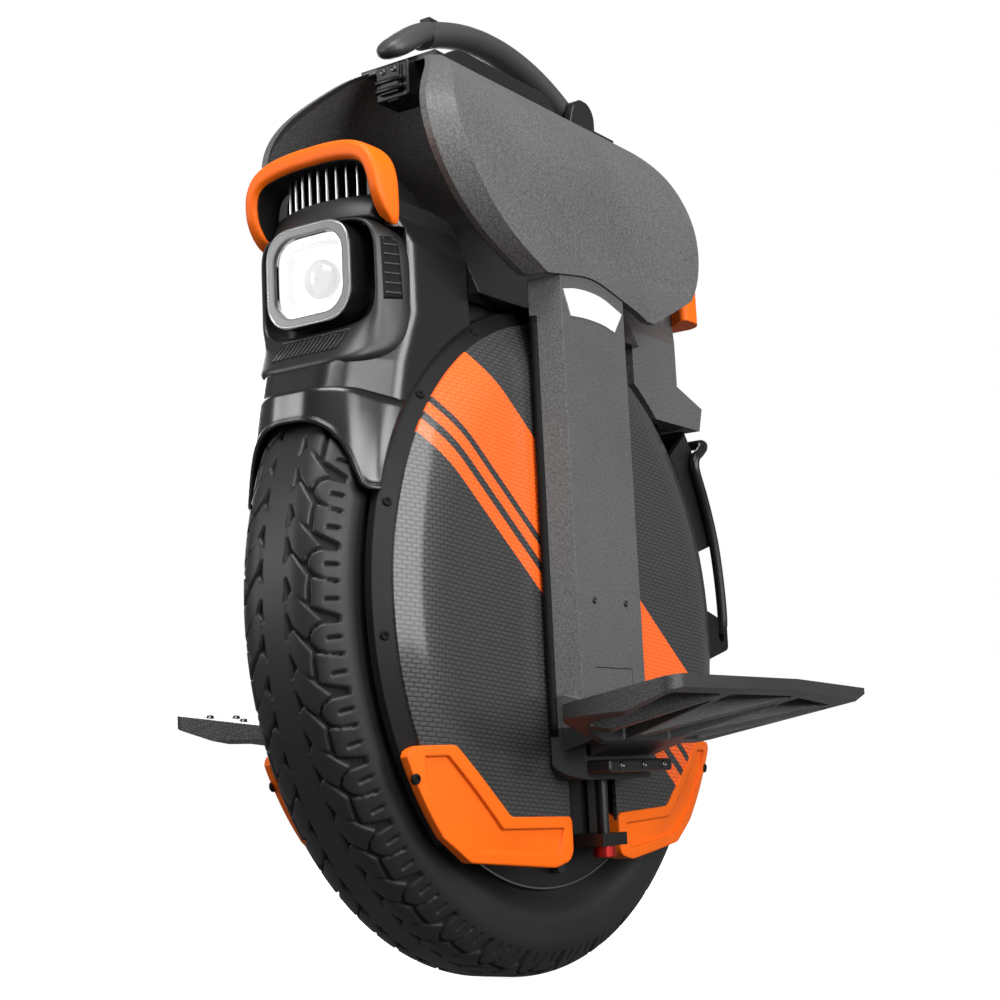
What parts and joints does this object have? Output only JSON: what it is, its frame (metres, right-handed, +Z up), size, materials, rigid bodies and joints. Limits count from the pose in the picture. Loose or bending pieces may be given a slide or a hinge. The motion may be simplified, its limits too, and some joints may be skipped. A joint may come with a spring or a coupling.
{
  "type": "electric unicycle",
  "caption": "Electric unicycle with hub motor wheel, side discs, sprung outer frame carrying folding pedals, hood panels, headlight nose and trolley handle.",
  "frame": {"origin": "on the ground below the axle, in the middle of the tyre's width", "axes": "+X to the rider's left, +Y to the rear, +Z up; the headlight faces -Y"},
  "size_m": [0.39, 0.466, 0.6571],
  "materials": {
    "satin_grey": "fine textured satin",
    "leg_grey": "fine textured satin",
    "body_black": "satin moulded",
    "deep_black": "matt moulded",
    "carbon_look": "weave print under clear lacquer",
    "orange": "satin moulded rubber",
    "tyre": "moulded tread",
    "black_alloy": "black powder coat",
    "cast_alloy": "grey cast, textured",
    "bare_alloy": "machined",
    "steel": "ground",
    "red_alloy": "red anodised",
    "silver_plate": "bare brushed plate",
    "clear": "clear moulded",
    "white_light": "frosted light guide",
    "reflector": "metallised",
    "red_lens": "red moulded",
    "board_green": "solder mask",
    "pack_blue": "shrink wrap",
    "soft_black": "soft moulded"
  },
  "bodies": {
    "chassis": {"axle": "steel", "stator": "steel", "left_axle_plate": "black_alloy", "right_axle_plate": "black_alloy", "rails": "black_alloy", "left_disc_cover": "carbon_look", "right_disc_cover": "carbon_look", "left_edge_ring": "deep_black", "right_edge_ring": "deep_black", "battery_packs": "pack_blue", "left_front_guard": "orange", "right_front_guard": "orange", "left_rear_guard": "orange", "right_rear_guard": "orange", "front_cowl": "body_black", "front_fender": "body_black", "front_bumper": "orange", "heat_sink": "black_alloy", "grille_trim": "cast_alloy", "light_pod": "deep_black", "headlight_housing": "body_black", "headlight_reflector": "reflector", "headlight_lens": "clear", "daylight_ring": "white_light", "controller_board": "board_green", "top_deck": "body_black", "rear_cowl": "body_black", "rear_bumper": "orange", "tail_light": "red_lens", "rear_mudguard": "deep_black", "shock_rods": "bare_alloy", "shock_ends": "red_alloy", "charge_port": "deep_black"},
    "wheel": {"tyre": "tyre", "rim": "black_alloy", "valve": "steel", "motor_covers": "black_alloy", "magnet_ring": "steel", "wheel_bearings": "steel"},
    "outer_frame": {"left_leg": "leg_grey", "right_leg": "leg_grey", "left_hood": "satin_grey", "right_hood": "satin_grey", "carry_handle": "body_black", "latch_block": "deep_black", "slide_carriages": "black_alloy", "shock_cylinders": "black_alloy", "badge_plates": "silver_plate", "pedal_pins": "steel"},
    "pedal_left": {"left_pedal": "cast_alloy"},
    "pedal_right": {"right_pedal": "cast_alloy"},
    "stand": {"kickstand": "black_alloy"},
    "trolley": {"trolley_handle": "body_black", "handle_cap": "deep_black"},
    "release": {"release_button": "deep_black"},
    "lift": {"lift_switch": "deep_black"},
    "power": {"power_button": "deep_black"},
    "port_cap": {"charge_cap": "soft_black"}
  },
  "joints": [
    {"name": "suspension_travel", "type": "slide", "parent": "chassis", "child": "outer_frame", "axis": [0, 0, -1], "range_m": [0, 0.085], "stiffness_N_per_m": 12000, "springref_m": -0.03},
    {"name": "wheel_spin", "type": "hinge", "parent": "chassis", "child": "wheel", "pos_m": [0, 0, 0.233], "axis": [1, 0, 0], "continuous": true},
    {"name": "left_pedal_fold", "type": "hinge", "parent": "outer_frame", "child": "pedal_left", "pos_m": [0.097, 0, 0.16], "axis": [0, -1, 0], "range_deg": [0, 78]},
    {"name": "right_pedal_fold", "type": "hinge", "parent": "outer_frame", "child": "pedal_right", "pos_m": [-0.097, 0, 0.16], "axis": [0, 1, 0], "range_deg": [0, 78]},
    {"name": "stand_swing", "type": "hinge", "parent": "chassis", "child": "stand", "pos_m": [0, 0.222, 0.228], "axis": [-1, 0, 0], "range_deg": [0, 130]},
    {"name": "trolley_lift", "type": "hinge", "parent": "outer_frame", "child": "trolley", "pos_m": [0, 0.122, 0.621], "axis": [-1, 0, 0], "range_deg": [0, 100]},
    {"name": "release_press", "type": "slide", "parent": "trolley", "child": "release", "axis": [0, 0, -1], "range_m": [0, 0.002], "stiffness_N_per_m": 300, "springref_m": -0.004},
    {"name": "lift_switch_press", "type": "slide", "parent": "outer_frame", "child": "lift", "axis": [0, 0, 1], "range_m": [0, 0.003], "stiffness_N_per_m": 300, "springref_m": -0.004},
    {"name": "power_press", "type": "slide", "parent": "chassis", "child": "power", "axis": [0, 0, -1], "range_m": [0, 0.002], "stiffness_N_per_m": 300, "springref_m": -0.004},
    {"name": "port_cap_flip", "type": "hinge", "parent": "chassis", "child": "port_cap", "pos_m": [0, 0.06, 0.5023], "axis": [-1, 0, 0], "range_deg": [0, 88]}
  ]
}
